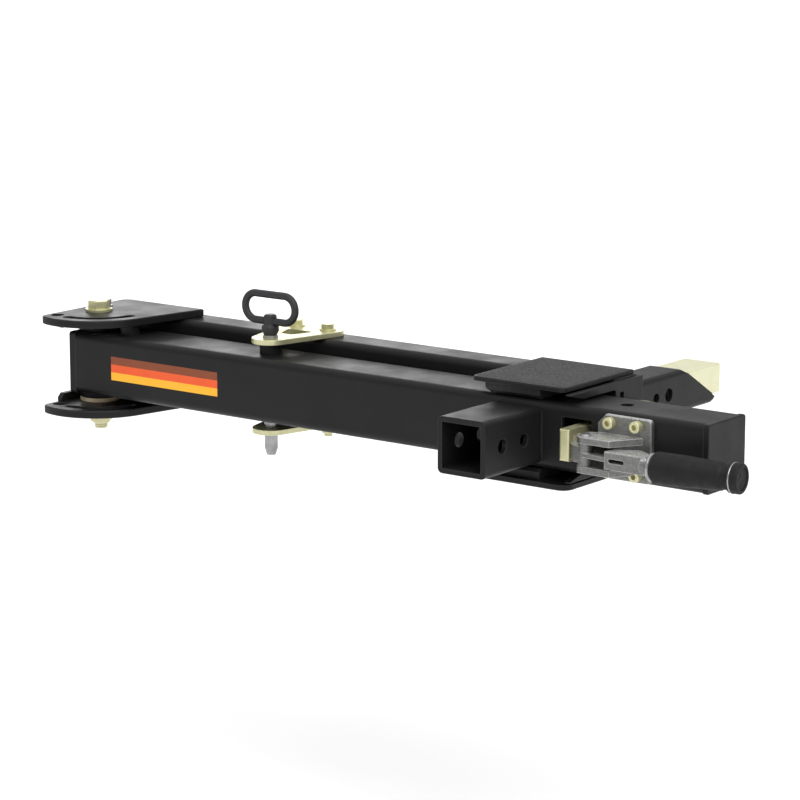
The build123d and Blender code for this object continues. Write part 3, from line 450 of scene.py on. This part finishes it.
# ---------------------------------------------------------------- bright band in the grip's end cap
cap_mid = mid("grip_end_cap")
grip_axis = (cap_mid - mid("grip_ferrule")).normalized()
cap_r = (high("grip_end_cap").z - low("grip_end_cap").z) / 2 / MM
band_back, band_sunk, band_proud, band_width = 2.75, 1.2, 0.5, 1.7
band("end_cap_band", cap_mid - grip_axis * band_back * MM, grip_axis, cap_r - band_sunk, cap_r + band_proud,
     band_width, bright, "latch_lever", "grip_steel")


# ---------------------------------------------------------------- weld beads
def weld_x(name, x0, x1, y, z, radius, body="base"):
    bead(name, (x0, y, z), (x1, y, z), radius, body)


def weld_y(name, x, y0, y1, z, radius, body="base"):
    bead(name, (x, y0, z), (x, y1, z), radius, body)


def weld_z(name, x, y, z0, z1, radius, body="base"):
    bead(name, (x, y, z0), (x, y, z1), radius, body)


shank_weld_r, plate_weld_r, end_weld_r, cheek_weld_r, receiver_weld_r = 2.4, 2.2, 1.8, 1.9, 1.6
beam_gap = 6 * MM
plate_corner = 14 * MM
cheek_gap = 8 * MM
receiver_gap = 5 * MM

shank_low, shank_high = low("shank"), high("shank")
beam_low, beam_high = low("rear_beam"), high("rear_beam")
left, right = shank_low.x + beam_gap, shank_high.x - beam_gap
for k, z in enumerate((shank_low.z, shank_high.z)):
    weld_x(f"shank_weld_{k + 1}", left, right, beam_high.y, z, shank_weld_r)
bottom, top = shank_low.z + beam_gap, shank_high.z - beam_gap
for k, x in enumerate((shank_low.x, shank_high.x)):
    weld_z(f"shank_weld_{k + 3}", x, beam_high.y, bottom, top, shank_weld_r)

plate_low, plate_high = low("upper_pivot_plate"), high("upper_pivot_plate")
left, right = plate_low.x + plate_corner, plate_high.x - beam_gap
for k, z in enumerate((beam_high.z, beam_low.z)):
    weld_x(f"pivot_plate_weld_{k + 1}", left, right, plate_high.y, z, plate_weld_r)

end_x = high("beam_end_cap").x
front, back = beam_low.y + beam_gap, beam_high.y - beam_gap
for k, z in enumerate((beam_low.z, beam_high.z)):
    weld_y(f"beam_end_weld_{k + 1}", end_x, front, back, z, end_weld_r)

cheek_low, cheek_high = low("cradle_cheek"), high("cradle_cheek")
front, back = beam_low.y + cheek_gap, beam_high.y - cheek_gap
for k, z in enumerate((cheek_low.z, cheek_high.z)):
    weld_y(f"cheek_weld_{k + 1}", cheek_low.x, front, back, z, cheek_weld_r)
bottom, top = cheek_low.z + cheek_gap, cheek_high.z - cheek_gap
weld_z("cheek_weld_3", cheek_low.x, beam_high.y, bottom, top, cheek_weld_r)

tube_low, tube_high = low("receiver_tube"), high("receiver_tube")
bottom, top = tube_low.z + receiver_gap, tube_high.z - receiver_gap
for k, x in enumerate((tube_low.x, tube_high.x)):
    weld_z(f"receiver_weld_{k + 1}", x, arm_low.y, bottom, top, receiver_weld_r, "swing_arm")
left, right = tube_low.x + receiver_gap, tube_high.x - receiver_gap
for k, z in enumerate((tube_low.z, tube_high.z)):
    weld_x(f"receiver_weld_{k + 3}", left, right, arm_low.y, z, receiver_weld_r, "swing_arm")

# ---------------------------------------------------------------- floor, light and camera
floor_z = cad_low.z - 0.42
floor_corners = [(-40, -40, floor_z), (40, -40, floor_z), (40, 60, floor_z), (-40, 60, floor_z)]
floor_mesh = bpy.data.meshes.new("floor")
floor_mesh.from_pydata(floor_corners, [], [(0, 1, 2, 3)])
floor = bpy.data.objects.new("floor", floor_mesh)
scene.collection.objects.link(floor)
floor_paint = Paint("pale_floor", (0.93, 0.93, 0.93), 0.9, specular=0.0)
floor_mesh.materials.append(floor_paint.mat)

world = bpy.data.worlds.new("studio")
scene.world = world
world.use_nodes = True
sky = world.node_tree
background = sky.nodes["Background"]
direction = sky.nodes.new("ShaderNodeTexCoord")
split = sky.nodes.new("ShaderNodeSeparateXYZ")
blend = sky.nodes.new("ShaderNodeMapRange")
blend.inputs["From Min"].default_value = 0.0
blend.inputs["From Max"].default_value = 0.9
blend.inputs["To Min"].default_value = 0.30
blend.inputs["To Max"].default_value = 1.05
sky.links.new(direction.outputs["Generated"], split.inputs["Vector"])
sky.links.new(split.outputs["Z"], blend.inputs["Value"])
sky.links.new(blend.outputs["Result"], background.inputs["Strength"])
background.inputs["Color"].default_value = (1, 1, 1, 1)


def area_light(name, location, target, size, power):
    data = bpy.data.lights.new(name, "AREA")
    data.shape = "RECTANGLE"
    data.size, data.size_y = size
    data.energy = power
    made = bpy.data.objects.new(name, data)
    scene.collection.objects.link(made)
    made.location = location
    made.rotation_euler = (Vector(target) - Vector(location)).to_track_quat("-Z", "Y").to_euler()


sun_data = bpy.data.lights.new("soft_sun", "SUN")
sun_data.energy = 1.25
sun_data.angle = math.radians(50)
sun = bpy.data.objects.new("soft_sun", sun_data)
scene.collection.objects.link(sun)
sun.rotation_euler = (math.radians(18), math.radians(22), 0)
area_light("key", (2.2, -1.4, 2.0), (-0.1, -0.2, 0), (1.6, 1.2), 24)
area_light("rim", (-3.1, 2.6, 1.0), (-0.5, -0.2, 0), (1.9, 1.1), 21)

camera_data = bpy.data.cameras.new("camera")
camera_data.sensor_width = 36
camera_data.lens = 138.4
camera_data.clip_end = 100
camera = bpy.data.objects.new("camera", camera_data)
scene.collection.objects.link(camera)
camera.location = (1.8974, -2.9867, 0.7127)
aim = Vector((-0.19194, -0.2319, 0.0052))
camera.rotation_euler = (aim - camera.location).to_track_quat("-Z", "Y").to_euler()
scene.camera = camera
scene.view_settings.view_transform = "Standard"
